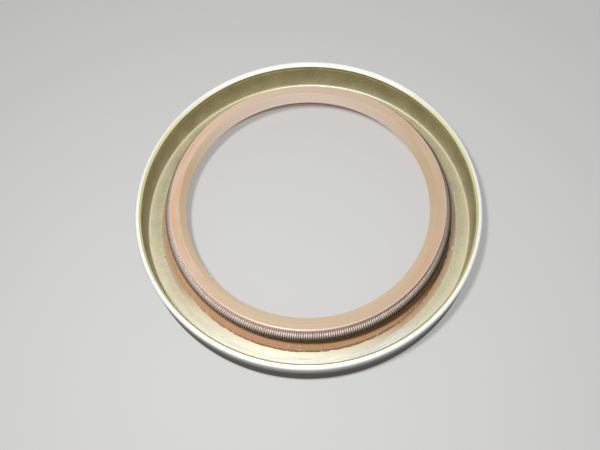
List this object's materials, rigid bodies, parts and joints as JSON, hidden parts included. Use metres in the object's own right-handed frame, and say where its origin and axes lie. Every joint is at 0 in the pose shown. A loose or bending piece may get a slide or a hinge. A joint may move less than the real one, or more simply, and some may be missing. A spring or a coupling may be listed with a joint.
{
  "type": "radial shaft seal",
  "caption": "Round shaft seal: open steel case, bonded brown rubber lip and a coiled garter spring around the lip's head.",
  "frame": {"origin": "centre of the flat outer face of the flange, on the air side", "axes": "+Z along the shaft's axis, out of the open side that faces the oil"},
  "size_m": [0.068, 0.068, 0.0082],
  "materials": {
    "case_steel": "cold-rolled steel with a thin satin olive bonding coat, bare along the rim",
    "lip_rubber": "moulded brown fluoroelastomer, satin, trimmed smooth on the head",
    "spring_steel": "bright drawn spring wire"
  },
  "bodies": {
    "root": {"case": "case_steel", "lip_element": "lip_rubber", "garter_spring": "spring_steel"}
  },
  "joints": []
}
